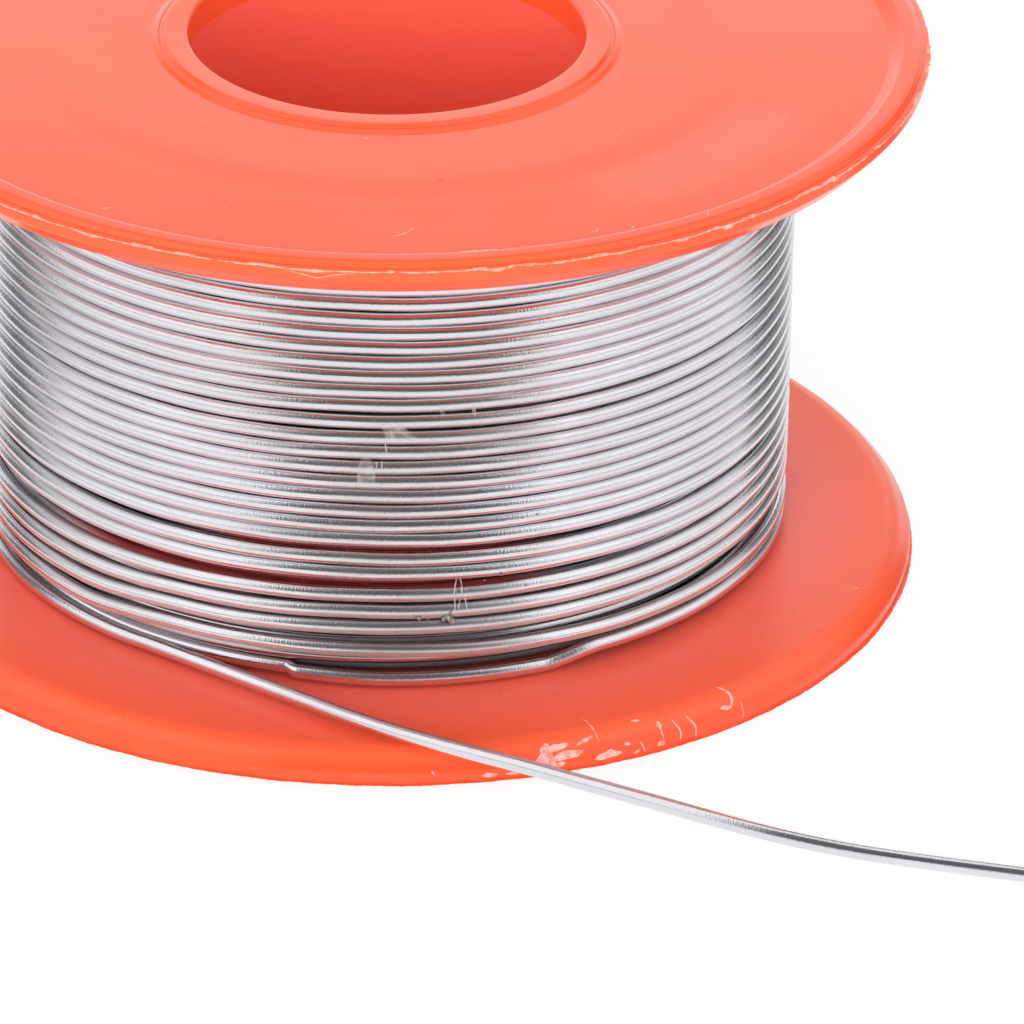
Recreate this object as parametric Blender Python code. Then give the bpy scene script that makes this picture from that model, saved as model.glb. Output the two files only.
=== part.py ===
"""Solder wire spool: a plastic reel of two halves, pressed together in the hub, wound with wire.

Metres, +Z along the bore. The origin is the centre of the face that the reel stands on.
"""
import math

import bmesh
import bpy
import numpy as np

MM = 0.001

# Reel
REEL_HEIGHT = 33.2 * MM
FLANGE_RADIUS = 31.75 * MM
BORE_RADIUS = 11.6 * MM
HUB_RADIUS = 14.0 * MM
REEL_SEGMENTS = 64
SHARP_ANGLE = math.radians(35)

# Flange: heights are measured inwards from its outer face
ROOT_THICKNESS = 2.4 * MM
RIM_THICKNESS = 2.2 * MM
HUB_FILLET = 0.6 * MM
RECESS_DEPTH = 0.35 * MM
DISH_RADIUS = 20.4 * MM
DISH_STEP = 1.2 * MM
DISH_STEP_DEPTH = 0.06 * MM
DISH_DEPTH = 0.18 * MM
LIP_FLAT_RADIUS = 13.0 * MM
LIP_STEP_RADIUS = 13.2 * MM
LIP_STEP_DEPTH = 0.18 * MM
LIP_LEDGE_RADIUS = 13.42 * MM
LIP_FOOT_RADIUS = 13.75 * MM
MOUTH_ROUND = 0.2 * MM
BEAD_FOOT_RADIUS = 29.35 * MM
BEAD_INNER_RADIUS = 30.05 * MM

# Rim of the flange: a chamfer, a wall, the moulding line that stands round it, and a ledge with a round shoulder
RIM_CHAMFER_RADIUS = 30.46 * MM
RIM_WALL_RADIUS = 31.58 * MM
RIM_WALL_HEIGHT = 1.1 * MM
RIM_ROUND = 0.75 * MM
MOULD_LINE_HEIGHT = 0.42 * MM
MOULD_LINE_HALF = 0.1 * MM
LEDGE_RADIUS = 31.32 * MM
LEDGE_HEIGHT = 0.34 * MM
SHOULDER_RADIUS = 30.8 * MM
SMALL_ROUND_STEPS = 3

# Press fit of the two halves inside the hub
GAP = 0.3 * MM
SOCKET_RADIUS = 12.9 * MM
SOCKET_DEPTH = 6.0 * MM
SPIGOT_CHAMFER = 0.4 * MM
HUB_HALF = (REEL_HEIGHT - GAP) / 2

# Solder wire
WIRE_DIAMETER = 0.8 * MM
WIRE_RADIUS = WIRE_DIAMETER / 2
LAYER_RADIUS = 23.7 * MM
CORE_RADIUS = 22.7 * MM
CORE_CHAMFER = 0.9 * MM
LOOPS = 21.6
POINTS_PER_LOOP = 24
LEAVING_ANGLE = math.radians(233)
BOTTOM_TURN_HEIGHT = 2.95 * MM
TOP_TURN_HEIGHT = REEL_HEIGHT - ROOT_THICKNESS - 2 * GAP - WIRE_RADIUS
LEAST_TURN_GAP = 0.4 * MM

# Climb of the outer layer out of the layer beneath, along a flat notch in the core
CLIMB_RADIUS = 22.3 * MM
CLIMB_ANGLE = math.radians(22)
CLIMB_POINTS = 5
NOTCH_FLOOR = 21.5 * MM
NOTCH_LENGTH = 10.0 * MM
NOTCH_REACH = 4.0 * MM

# Free lead: its route from the bottom turn, over the lower flange, down to the table
LEAD_POINT_STEP = 2.5 * WIRE_DIAMETER
LEAD_ROUTE_MM = [
    (-13.38, -19.59, 2.95),
    (-11.86, -20.74, 2.95),
    (-9.47, -22.54, 2.95),
    (-7.07, -24.35, 2.95),
    (-4.68, -26.15, 2.95),
    (-2.28, -27.96, 2.96),
    (0.20, -29.65, 2.98),
    (2.60, -31.10, 3.00),
    (5.10, -32.44, 3.00),
    (7.85, -33.82, 2.98),
    (11.20, -35.59, 2.92),
    (15.40, -37.67, 2.78),
    (18.60, -39.15, 2.60),
    (21.90, -40.33, 2.30),
    (25.00, -40.99, 1.92),
    (27.90, -41.25, 1.52),
    (31.30, -41.39, 1.08),
    (34.50, -41.58, 0.74),
    (37.00, -41.82, 0.54),
    (39.50, -42.15, 0.42),
]


def clear_scene():
    for item in list(bpy.data.objects):
        bpy.data.objects.remove(item, do_unlink=True)


def finish(name, colour, roughness, metallic):
    material = bpy.data.materials.new(name)
    material.use_nodes = True
    shader = material.node_tree.nodes["Principled BSDF"]
    shader.inputs["Base Color"].default_value = (*colour, 1.0)
    shader.inputs["Roughness"].default_value = roughness
    shader.inputs["Metallic"].default_value = metallic
    return material


def reel_plastic(name):
    return finish(name, (0.90, 0.115, 0.05), 0.38, 0.0)


def solder_metal(name):
    return finish(name, (0.66, 0.66, 0.68), 0.28, 1.0)


def add_object(name, data, material, parent):
    item = bpy.data.objects.new(name, data)
    item.parent = parent
    if material:
        data.materials.append(material)
    bpy.context.collection.objects.link(item)
    return item


def arc(centre, radii, start, end, steps):
    """Points of an elliptical arc in a (radius, height) section, from one angle in degrees to another."""
    angles = np.radians(np.linspace(start, end, steps + 1))
    return [(centre[0] + radii[0] * math.cos(a), centre[1] + radii[1] * math.sin(a)) for a in angles]


def rounded(corner, before, after, reach, steps):
    """A corner of a section as a round that starts and ends at this reach from it."""
    corner, before, after = (np.array(point) for point in (corner, before, after))
    back = (before - corner) / np.linalg.norm(before - corner) * reach
    on = (after - corner) / np.linalg.norm(after - corner) * reach
    return [tuple(corner + back * (1 - s) ** 2 + on * s ** 2) for s in np.linspace(0.0, 1.0, steps + 1)]


def turned(name, outline, material, parent):
    """Solid of revolution about Z from a closed outline of (radius, height) points."""
    shape = bmesh.new()
    corners = [shape.verts.new((radius, 0.0, height)) for radius, height in outline]
    edges = [shape.edges.new((a, b)) for a, b in zip(corners, corners[1:] + corners[:1])]
    bmesh.ops.spin(shape, geom=corners + edges, axis=(0, 0, 1), cent=(0, 0, 0),
                   steps=REEL_SEGMENTS, angle=2 * math.pi, use_merge=True)
    bmesh.ops.recalc_face_normals(shape, faces=shape.faces)
    mesh = bpy.data.meshes.new(name)
    shape.to_mesh(mesh)
    shape.free()
    mesh.shade_smooth()
    mesh.set_sharp_from_angle(angle=SHARP_ANGLE)
    return add_object(name, mesh, material, parent)


def rim_outline():
    """Rim from the flange's inner face to its bead: chamfer, wall, moulding line, ledge and shoulder."""
    face_edge = (RIM_CHAMFER_RADIUS, RIM_THICKNESS)
    wall_edge = (RIM_WALL_RADIUS, RIM_WALL_HEIGHT)
    chamfer = rounded(face_edge, (HUB_RADIUS, ROOT_THICKNESS), wall_edge, RIM_ROUND, SMALL_ROUND_STEPS)
    line_top = MOULD_LINE_HEIGHT + MOULD_LINE_HALF
    mould_line = [(RIM_WALL_RADIUS, line_top), (FLANGE_RADIUS, MOULD_LINE_HEIGHT)]
    shoulder = arc((SHOULDER_RADIUS, LEDGE_HEIGHT), (LEDGE_RADIUS - SHOULDER_RADIUS, LEDGE_HEIGHT),
                   0, -90, SMALL_ROUND_STEPS)
    return chamfer + [wall_edge] + mould_line + shoulder


def flange_outline():
    """Flange from the foot of the hub, along its inner face, round the rim and back to the bore."""
    foot = arc((HUB_RADIUS + HUB_FILLET, ROOT_THICKNESS + HUB_FILLET), (HUB_FILLET, HUB_FILLET),
               180, 270, SMALL_ROUND_STEPS)
    bead = [(BEAD_INNER_RADIUS, 0.0), (BEAD_FOOT_RADIUS, RECESS_DEPTH + DISH_DEPTH)]
    dish = [(DISH_RADIUS + DISH_STEP, RECESS_DEPTH + DISH_STEP_DEPTH), (DISH_RADIUS, RECESS_DEPTH)]
    lip = [(LIP_FOOT_RADIUS, RECESS_DEPTH), (LIP_LEDGE_RADIUS, LIP_STEP_DEPTH),
           (LIP_STEP_RADIUS, LIP_STEP_DEPTH), (LIP_FLAT_RADIUS, 0.0)]
    mouth = [(BORE_RADIUS + MOUTH_ROUND, 0.0), (BORE_RADIUS, MOUTH_ROUND)]
    return foot + rim_outline() + bead + dish + lip + mouth


def lower_reel_half(parent):
    """Lower flange and half of the hub, whose upper end is bored out as the socket."""
    socket_floor = HUB_HALF - SOCKET_DEPTH
    socket = [(BORE_RADIUS, socket_floor), (SOCKET_RADIUS, socket_floor), (SOCKET_RADIUS, HUB_HALF)]
    outline = [(HUB_RADIUS, HUB_HALF)] + flange_outline() + socket
    turned("lower_reel_half", outline, reel_plastic("lower_plastic"), parent)


def upper_reel_half(parent):
    """Upper flange and half of the hub, whose lower end is turned down as the spigot."""
    spigot_radius = SOCKET_RADIUS - GAP
    tip = HUB_HALF + SOCKET_DEPTH
    spigot = [(BORE_RADIUS, tip), (spigot_radius - SPIGOT_CHAMFER, tip),
              (spigot_radius, tip - SPIGOT_CHAMFER), (spigot_radius, HUB_HALF)]
    outline = [(HUB_RADIUS, HUB_HALF)] + flange_outline() + spigot
    flipped = [(radius, REEL_HEIGHT - height) for radius, height in outline]
    turned("upper_reel_half", flipped, reel_plastic("upper_plastic"), parent)


def notch_cutter(parent):
    """Block that cuts the flat notch where the outer layer starts; one end is square to the wire."""
    shape = bmesh.new()
    bmesh.ops.create_cube(shape, size=1.0)
    floor_height = TOP_TURN_HEIGHT - WIRE_RADIUS - 2 * GAP
    size = (NOTCH_REACH, NOTCH_LENGTH, REEL_HEIGHT - floor_height)
    end_wall = -(WIRE_DIAMETER + GAP)
    centre = (NOTCH_FLOOR + size[0] / 2, end_wall + size[1] / 2, floor_height + size[2] / 2)
    bmesh.ops.scale(shape, vec=size, verts=shape.verts)
    bmesh.ops.translate(shape, vec=centre, verts=shape.verts)
    mesh = bpy.data.meshes.new("notch_cutter")
    shape.to_mesh(mesh)
    shape.free()
    cutter = add_object("notch_cutter", mesh, None, parent)
    cutter.rotation_euler.z = starting_angle()
    cutter.hide_render = True
    cutter.display_type = "WIRE"
    return cutter


def inner_winding(parent):
    """The layers under the outer one, as one turned ring between the flanges."""
    inner = HUB_RADIUS + GAP
    low = ROOT_THICKNESS + GAP
    high = REEL_HEIGHT - low
    outline = [(CORE_RADIUS, high), (CORE_RADIUS, low), (inner + CORE_CHAMFER, low),
               (inner, low + CORE_CHAMFER), (inner, high - CORE_CHAMFER), (inner + CORE_CHAMFER, high)]
    ring = turned("inner_winding", outline, solder_metal("inner_solder"), parent)
    cut = ring.modifiers.new("notch", "BOOLEAN")
    cut.operation = "DIFFERENCE"
    cut.solver = "EXACT"
    cut.object = notch_cutter(parent)


def starting_angle():
    return LEAVING_ANGLE - 2 * math.pi * LOOPS


def helix_point(turned_angle):
    """Centre of the outer layer's wire after this angle; it climbs first and goes down all the way."""
    share = min(turned_angle / CLIMB_ANGLE, 1.0)
    climbed = share * share * (3 - 2 * share)
    radius = CLIMB_RADIUS + (LAYER_RADIUS - CLIMB_RADIUS) * climbed
    fall = (TOP_TURN_HEIGHT - BOTTOM_TURN_HEIGHT) * turned_angle / (2 * math.pi * LOOPS)
    angle = starting_angle() + turned_angle
    return np.array([radius * math.cos(angle), radius * math.sin(angle), TOP_TURN_HEIGHT - fall])


def straight_end(angle, point, direction):
    """One wire diameter straight on from a helix point, along the turn there."""
    return point + direction * WIRE_DIAMETER * np.array([-math.sin(angle), math.cos(angle), 0.0])


def winding_points():
    whole = 2 * math.pi * LOOPS
    climb = np.linspace(0.0, CLIMB_ANGLE, CLIMB_POINTS + 1)
    rest_count = round((whole - CLIMB_ANGLE) / (2 * math.pi) * POINTS_PER_LOOP)
    turns = np.linspace(CLIMB_ANGLE, whole, rest_count + 1)
    points = [helix_point(angle) for angle in [*climb, *turns[1:]]]
    first = straight_end(starting_angle(), points[0], -1)
    last = straight_end(LEAVING_ANGLE, points[-1], 1)
    return np.array([first, *points, last])


def least_gap(points):
    """Smallest clear distance between parts of one tube that are half a turn or more apart."""
    apart = np.linalg.norm(points[:, None, :] - points[None, :, :], axis=2)
    index = np.arange(len(points))
    near = np.abs(index[:, None] - index[None, :]) < POINTS_PER_LOOP // 2
    return apart[~near].min() - WIRE_DIAMETER


def tube(name, points, bevel_resolution, material, parent):
    curve = bpy.data.curves.new(name, "CURVE")
    curve.dimensions = "3D"
    curve.twist_mode = "Z_UP"
    curve.bevel_depth = WIRE_RADIUS
    curve.bevel_resolution = bevel_resolution
    curve.use_fill_caps = True
    path = curve.splines.new("POLY")
    path.points.add(len(points) - 1)
    for spot, point in zip(path.points, points):
        spot.co = (*point, 1.0)
    path.use_smooth = True
    return add_object(name, curve, material, parent)


def outer_winding(parent):
    """The outer layer of turns, one unbroken tube from the climb to where the lead leaves."""
    points = winding_points()
    gap = least_gap(points)
    print(f"outer_winding: least gap to itself {gap / MM:.3f} mm over {LOOPS} loops")
    assert gap > LEAST_TURN_GAP
    tube("outer_winding", points, 1, solder_metal("outer_solder"), parent)


def smooth_route(route, step):
    """Points at an even step along a smooth curve that passes through every point of a route."""
    ends = np.array([2 * route[0] - route[1], *route, 2 * route[-1] - route[-2]])
    fine = []
    for before, start, end, after in zip(ends, ends[1:], ends[2:], ends[3:]):
        for t in np.linspace(0.0, 1.0, 16, endpoint=False):
            fine.append(0.5 * (2 * start + (end - before) * t
                               + (2 * before - 5 * start + 4 * end - after) * t ** 2
                               + (3 * start - before - 3 * end + after) * t ** 3))
    fine = np.array([*fine, route[-1]])
    along = np.concatenate([[0.0], np.cumsum(np.linalg.norm(np.diff(fine, axis=0), axis=1))])
    stops = np.linspace(0.0, along[-1], round(along[-1] / step) + 1)
    points = np.stack([np.interp(stops, along, fine[:, axis]) for axis in range(3)], axis=1)
    return points, along[-1]


def solder_lead(parent):
    """The free end of the wire; its start faces the end of the outer winding."""
    points, length = smooth_route(np.array(LEAD_ROUTE_MM) * MM, LEAD_POINT_STEP)
    print(f"solder_lead: {length / MM:.1f} mm long")
    tube("solder_lead", points, 2, solder_metal("lead_solder"), parent)


def main():
    clear_scene()
    spool = bpy.data.objects.new("spool", None)
    bpy.context.collection.objects.link(spool)
    lower_reel_half(spool)
    upper_reel_half(spool)
    inner_winding(spool)
    outer_winding(spool)
    solder_lead(spool)


main()
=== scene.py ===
"""Solder wire spool: the looks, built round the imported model. Metres, in the model's own frame."""
import math

import bpy
import numpy as np
from mathutils import Matrix, Vector


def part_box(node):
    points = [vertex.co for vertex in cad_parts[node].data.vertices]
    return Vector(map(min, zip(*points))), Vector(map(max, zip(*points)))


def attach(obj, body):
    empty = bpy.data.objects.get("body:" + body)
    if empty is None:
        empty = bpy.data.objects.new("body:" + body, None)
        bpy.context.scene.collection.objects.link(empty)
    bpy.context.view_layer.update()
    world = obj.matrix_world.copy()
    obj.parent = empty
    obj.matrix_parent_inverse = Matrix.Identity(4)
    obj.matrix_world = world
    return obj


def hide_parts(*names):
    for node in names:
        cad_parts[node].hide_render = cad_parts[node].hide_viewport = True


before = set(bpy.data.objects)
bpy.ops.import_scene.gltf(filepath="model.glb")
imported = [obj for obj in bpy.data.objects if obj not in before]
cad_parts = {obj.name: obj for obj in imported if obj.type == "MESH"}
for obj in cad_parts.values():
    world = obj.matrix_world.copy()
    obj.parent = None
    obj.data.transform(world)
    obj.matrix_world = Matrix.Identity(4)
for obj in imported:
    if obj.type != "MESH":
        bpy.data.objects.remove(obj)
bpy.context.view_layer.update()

MM = 0.001
SEED = 7

# Reel: heights in the flange's section are measured inwards from its outer face
REEL_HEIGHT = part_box("upper_reel_half")[1].z
FLANGE_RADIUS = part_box("upper_reel_half")[1].x
BORE_RADIUS = 11.6 * MM
HUB_RADIUS = 14.0 * MM
REEL_SEGMENTS = 720
ROOT_THICKNESS = 2.4 * MM
RIM_THICKNESS = 2.2 * MM
HUB_FILLET = 0.6 * MM
RECESS_DEPTH = 0.35 * MM
LIP_FLAT_RADIUS = 13.0 * MM
LIP_STEP_RADIUS = 13.2 * MM
LIP_STEP_DEPTH = 0.18 * MM
LIP_LEDGE_RADIUS = 13.42 * MM
LIP_FOOT_RADIUS = 13.75 * MM
MOUTH_ROUND = 0.2 * MM
DISH_RADIUS = 19.2 * MM
DISH_STEP = 3.6 * MM
DISH_STEP_DEPTH = 0.06 * MM
DISH_DEPTH = 0.18 * MM
BEAD_FOOT_RADIUS = 29.35 * MM
BEAD_INNER_RADIUS = 30.05 * MM
BEAD_DEPTH = 0.02 * MM
SHOULDER_RADIUS = 30.8 * MM
LEDGE_RADIUS = 31.32 * MM
LEDGE_HEIGHT = 0.34 * MM
RIM_CHAMFER_RADIUS = 30.55 * MM
RIM_WALL_RADIUS = 31.58 * MM
RIM_WALL_HEIGHT = 1.1 * MM
UPPER_RIM_ROUND = 0.3 * MM
LOWER_RIM_ROUND = 0.7 * MM
WALL_ROUND = 0.12 * MM
BEAD_ROUND = 0.15 * MM
MOULD_LINE_HEIGHT = 0.42 * MM
MOULD_LINE_HALF = 0.08 * MM
MOULD_LINE_RADIUS = 31.64 * MM
EDGE_ROUND = 0.06 * MM
JOINT_GAP = 0.05 * MM
HUB_HALF = REEL_HEIGHT / 2 - JOINT_GAP
JOINT_CHAMFER = 0.25 * MM
ARC_STEPS = 8
ROUND_STEPS = 12
EDGE_STEPS = 4
FACE_STEPS = 10
PLAIN_STEPS = 8
TURNED_SHARP = 30.0
THIN_SHARP = 50.0

# Plastic: shades of its flow, dust specks, a paler, pinker colour between the flanges that is partly dust
# haze and partly painted light and sheen near the coil, a patch of the upper face that is rubbed dull, and a
# deeper colour low on the lower rim that is painted shade. Two numbers for a zone are the start and end of a
# change, and three are both edges of a band and how wide its soft sides are
PLASTIC_SHADES = (0.93, 0.102, 0.032, 1), (0.95, 0.114, 0.036, 1)
SPECK_COLOUR = (0.45, 0.045, 0.03, 1)
GROOVE_ZONE = 2.0 * MM, REEL_HEIGHT - 2.0 * MM, 0.3 * MM
# Paler, pinker colour between the flanges, strongest near the coil: partly dust haze, partly painted light
# and sheen
HAZE_AND_LIGHT_COLOUR = (0.97, 0.165, 0.142, 1)
HAZE_AND_LIGHT_SHARE = 0.55
HAZE_AND_LIGHT_END = 25 * MM, 30 * MM
RUBBED_COLOUR = (1.0, 0.36, 0.29, 1)
RUBBED_SHARE = 0.25
RUBBED_TURN = math.radians(-50), math.radians(-32), math.radians(16)
RUBBED_RADII = 24 * MM, 25 * MM, 3 * MM
RUBBED_HEIGHTS = REEL_HEIGHT - 1.0 * MM, REEL_HEIGHT - 0.6 * MM
# Deeper, more saturated colour low on the lower rim: painted shade
RIM_SHADE_COLOUR = (0.93, 0.078, 0.020, 1)
RIM_SHADE_SHARE = 0.85
RIM_SHADE_RADII = 30.9 * MM, 31.3 * MM
RIM_SHADE_HEIGHTS = 1.2 * MM, 2.0 * MM

# Torn and scraped plastic: light and dark shade
TORN_SHADES = (1.0, 0.47, 0.36, 1), (1.0, 0.24, 0.14, 1)
SCRAPED_SHADES = (0.98, 0.70, 0.64, 1), (1.0, 0.46, 0.38, 1)
SCRAPED_CLEAR = 0.7

# Flash that was squeezed out along the moulding line, and its torn spots on the upper rim:
# angle and half width in degrees, height in millimetres
FLASH_SEGMENTS = 2160
FLASH_ROOT = 31.5 * MM
FLASH_HALF = 0.05 * MM
FLASH_REACH_WAVES = (23, 61, 97, 151, 233, 389, 601)
FLASH_LIFT_WAVES = (11, 29, 53, 83)
FLASH_LEAST_REACH = 0.35
LOWER_RAGGED = 0.2
UPPER_RAGGED = 0.45
UPPER_TORN = [
    (227.8, 1.0, 0.10), (238.4, 1.4, 0.12), (262.6, 2.4, 0.10), (281.2, 1.2, 0.14), (288.0, 1.0, 0.08),
    (294.5, 0.9, 0.10), (301.7, 1.0, 0.14), (307.3, 0.8, 0.20), (313.0, 0.8, 0.08), (323.7, 0.8, 0.20),
]

# Scuffs: width in millimetres, then places. Each place is an angle in degrees and a distance in millimetres:
# on the lower rim from the edge of its inner face, on the upper face from the axis of the bore, and on the
# upper rim from its moulding line
LOWER_SCUFFS = [
    (1.1, [(285.9, 1.6), (286.7, 1.42), (287.6, 1.3)]), (1.6, [(286.9, 1.9), (287.4, 1.2), (287.8, 0.3)]),
    (0.85, [(288.0, 1.3), (290.0, 1.15), (291.5, 1.1)]), (0.7, [(287.5, 0.7), (289.0, 0.6), (290.2, 0.5)]),
    (0.6, [(287.8, 1.75), (289.4, 1.6)]),
    (0.35, [(291.0, 0.7), (291.7, 0.55), (293.1, 0.3)]),
    (0.8, [(292.8, 1.72), (294.3, 1.58), (295.8, 1.64)]),
    (0.14, [(293.2, -1.6), (293.4, -0.3), (293.6, 0.8)]), (0.28, [(298.0, -0.1), (298.9, 0.0)]),
    (0.4, [(296.3, 1.15), (297.0, 1.25)]), (0.35, [(294.4, 1.6), (295.2, 1.5)]),
    (0.28, [(297.2, 1.85), (297.9, 1.8)]), (0.45, [(300.8, 0.35), (300.9, 0.85)]),
    (0.16, [(300.9, 0.8), (300.8, 1.5)]), (0.55, [(300.1, 1.72), (301.0, 1.66)]),
    (0.18, [(302.5, 0.5), (303.0, 1.2), (302.9, 1.95)]),
    (0.18, [(304.3, 0.5), (304.9, 1.2), (304.9, 1.95)]),
    (0.14, [(298.1, 1.25), (298.6, 1.95)]),
    (0.3, [(310.1, -0.6), (310.7, 0.1), (310.5, 0.7), (309.8, 1.05)]),
    (0.4, [(310.2, 0.95), (308.7, 0.8)]), (0.14, [(311.5, 0.9), (311.2, 1.95)]),
    (0.16, [(339.3, -1.0), (339.3, -0.6)]), (0.44, [(280.4, 1.78), (282.1, 1.78)]),
    (0.4, [(283.0, 1.8), (284.6, 1.78)]), (0.16, [(275.2, 1.3), (275.5, 1.5)]),
]
UPPER_SCUFFS_AND_EDGE_GLINT = [
    (0.1, [(270.9, 26.9), (272.4, 26.5), (273.7, 25.7)]), (0.12, [(265.0, 14.4), (265.9, 14.2)]),
    (0.14, [(293.8, 28.3), (294.4, 28.5), (295.0, 28.1)]), (0.14, [(298.2, 29.0), (299.0, 28.8)]),
    # The mark along the bead's inner edge, from 277.8 to 282 degrees, is partly wear and partly a painted
    # highlight on that edge
    (0.14, [(277.8, 30.08), (280.0, 30.06), (282.0, 30.08)]), (0.14, [(244.5, 30.05), (246.0, 29.4)]),
    (0.12, [(307.0, 29.95), (305.9, 30.75)]), (0.12, [(236.0, 28.4), (236.6, 28.0)]),
]
UPPER_RIM_SCUFFS = [(0.1, [(259.8, 0.06), (262.0, 0.3), (263.2, 0.42), (265.0, 0.2), (267.0, 0.06)])]
SCUFFED_FACE = 3.0 * MM
SCUFF_HEIGHT = 0.015 * MM
SCUFF_STEP = 0.06 * MM
SCUFF_KNOTS = 6
SCUFF_LEAST = 0.55
SCUFF_END = 0.04
SCUFF_SWELL = 0.6
SURFACE_STEP = 0.02 * MM
# Points across a mark: share of its half width, and how many times its height it stands above the surface
SCUFF_ACROSS = [(1.0, -1.0), (0.6, 1.0), (0.2, 1.0), (-0.2, 1.0), (-0.6, 1.0), (-1.0, -1.0)]

# Solder wire and the outer layer of turns
WIRE_RADIUS = 0.4 * MM
WIRE_SIDES = 16
PRESSED_HALF_HEIGHT = 0.455 * MM
LEAD_HALF_HEIGHT = 0.45 * MM
PRESSED_UNTIL = 40.0
LAYER_RADIUS = 23.7 * MM
POINTS_PER_TURN = 288
LEAVING_ANGLE = 233.0
STARTING_ANGLE = 17.0
LAST_TURN = 27
PITCH = 0.917 * MM
FIRST_TURN_HEIGHT = 29.82 * MM
HIGHEST_TURN = REEL_HEIGHT - ROOT_THICKNESS - PRESSED_HALF_HEIGHT
FRONT_START = 190.0
FRONT_SPAN = 160.0
BACK_SPAN = 360.0 - FRONT_SPAN

# Solder: bright where it is clean, duller in a patch that was handled and, beside and low on the front, in
# the valleys between the turns. Its zones are given in the same way
SOLDER_COLOUR = (0.80, 0.795, 0.835, 1)
HANDLED_COLOUR = (0.70, 0.69, 0.71, 1)
HANDLED_SIDES = -3 * MM, 8 * MM, 6 * MM
HANDLED_HEIGHTS = 6 * MM, 18 * MM, 4 * MM
HANDLED_DEPTH = -20 * MM, -10 * MM
PIT_COLOUR = (0.34, 0.32, 0.31, 1)
VALLEY_BESIDE = -23.2 * MM, -18 * MM
VALLEY_LOW = 5 * MM, 10 * MM
VALLEY_DEPTH = -24.2 * MM, -14 * MM, 4 * MM
VALLEY_FOOT = 3.2 * MM, 4 * MM
UPPER_EDGE_TILT = 0.35, 0.75
LOWER_EDGE_TILT = 0.0, 0.25
UPPER_EDGE_DULL = 0.28
LOWER_EDGE_DULL = 0.6

# Bottom turn: tucked in beneath the others on the left, then slipped outwards from a jog to a softer bend
DIP_TURN = 26
DIP_START = 256.2
JOG_SPAN = 1.8
JOG_SHARE = 0.6
SLIP_SPAN = 16.0
DIP_END = 302.0
DIP_BEND = 9.0
DIP_RADIUS = 23.5 * MM
DIP_HEIGHT = 2.9 * MM
TUCK_SPAN = 110.0
TUCK_RADIUS = 22.9 * MM
TUCK_HEIGHT = 3.07 * MM
KINK_FINENESS = 4
WOBBLE = 0.012 * MM
WOBBLE_OUTWARDS = 0.3
WOBBLES_PER_TURN = [1.37, 3.71, 7.93, 17.3]

# Extra room under a turn, in millimetres, on the left and on the right of the front
SLACK = [
    *((turn, 0.02, -0.03) for turn in range(4, 10)), (10, 0.05, 0.16), (11, 0.05, 0.12), (12, 0.0, 0.1),
    *((turn, 0.0, 0.035) for turn in range(13, 19)), (19, 0.26, 0.3), (20, 0.0, 0.04), (21, 0.85, 0.1),
    (22, 0.13, 0.17), (23, 0.13, 0.14), (24, 0.06, 0.99), (25, 0.5, 0.13), (26, -0.35, 0.0),
]
# How far single turns drop on the far left, in millimetres, and the angles over which they do
LEFT_DROPS = {22: 0.15, 23: 0.25, 24: 0.38, 25: 0.5}
LEFT_DROP_START = 222.0
LEFT_DROP_SPAN = 20.0
# How far every turn sags, as angle in degrees and millimetres
SAG_ANGLES = [190, 225, 265, 300, 320, 350]
SAG_MM = [0.35, 0.25, 0.07, 0.21, 0.32, 0.40]

# Layers beneath: the top one climbs the other way, and two bands of it in front are painted deep red, a
# painted reflection of the red flange in shade, each given by its lower and upper edge and its left and
# right end in millimetres
INNER_LAYER_RADIUS = 22.9 * MM
INNER_LAYER_TURNS = 25
INNER_LAYER_PITCH = 1.05 * MM
INNER_LAYER_START = 140.0
INNER_LAYER_LOW = 3.653 * MM
INNER_CLIMB_SPAN = 40.0
INNER_CLIMB = 0.9 * MM
INNER_POINTS_PER_TURN = 120
RED_BANDS = [((8.2, 9.7), (-15.0, 6.0)), ((10.3, 12.2), (-7.0, 6.0))]
RED_BAND_EDGE = 0.4 * MM
RED_BAND_FADE = 6.0 * MM
RED_BAND_DEPTH = -5 * MM, 0.0
RED_REFLECTION_SHADES = (0.42, 0.066, 0.060, 1), (0.56, 0.100, 0.092, 1)
# Inner layer: the solder darker than the outer wire, as painted shade between the outer turns
INNER_SHADE_COLOUR = (0.62, 0.615, 0.64, 1)
INNER_METAL = 1.0
# Core: dark and dull, painted shade of the layers deep between the turns
CORE_SHADE_COLOUR = (0.10, 0.095, 0.10, 1)
CORE_METAL = 0.2
CORE_RADIUS = 22.05 * MM
CORE_INNER_RADIUS = 14.2 * MM
CORE_LOW = 2.75 * MM
CORE_HIGH = 30.45 * MM
CORE_SEGMENTS = 180

# Clear flux film stuck to the turns: corners of each flake, and the ends of each thread, as angle in degrees
# and height in millimetres; crumbs as angle, height and size
FILM_GAP = 0.01 * MM
FILM_RADIUS = LAYER_RADIUS + WIRE_RADIUS + FILM_GAP
FILM_THICKNESS = 0.02 * MM
FILM_LIFT_MM = 0.05
FILM_COLOUR = (0.72, 0.71, 0.69, 1)
FILM_COVER = 0.05, 0.2
THREAD_COVER = 0.2, 0.42
FILM_FLAKES = [
    [(269.6, 19.5), (271.0, 19.75), (272.6, 19.6), (273.6, 19.0), (274.5, 18.75), (274.1, 18.4),
     (272.0, 18.55), (270.3, 18.75)],
    [(266.4, 15.9), (266.5, 16.8), (267.0, 17.35), (267.7, 17.55), (268.4, 17.3), (268.8, 16.7),
     (268.9, 15.9), (267.6, 15.6)],
    [(277.5, 20.55), (278.1, 20.6), (278.2, 20.1), (277.7, 20.0)],
    [(281.9, 20.5), (282.4, 20.5), (282.5, 19.95), (282.0, 19.95)],
]
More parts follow.
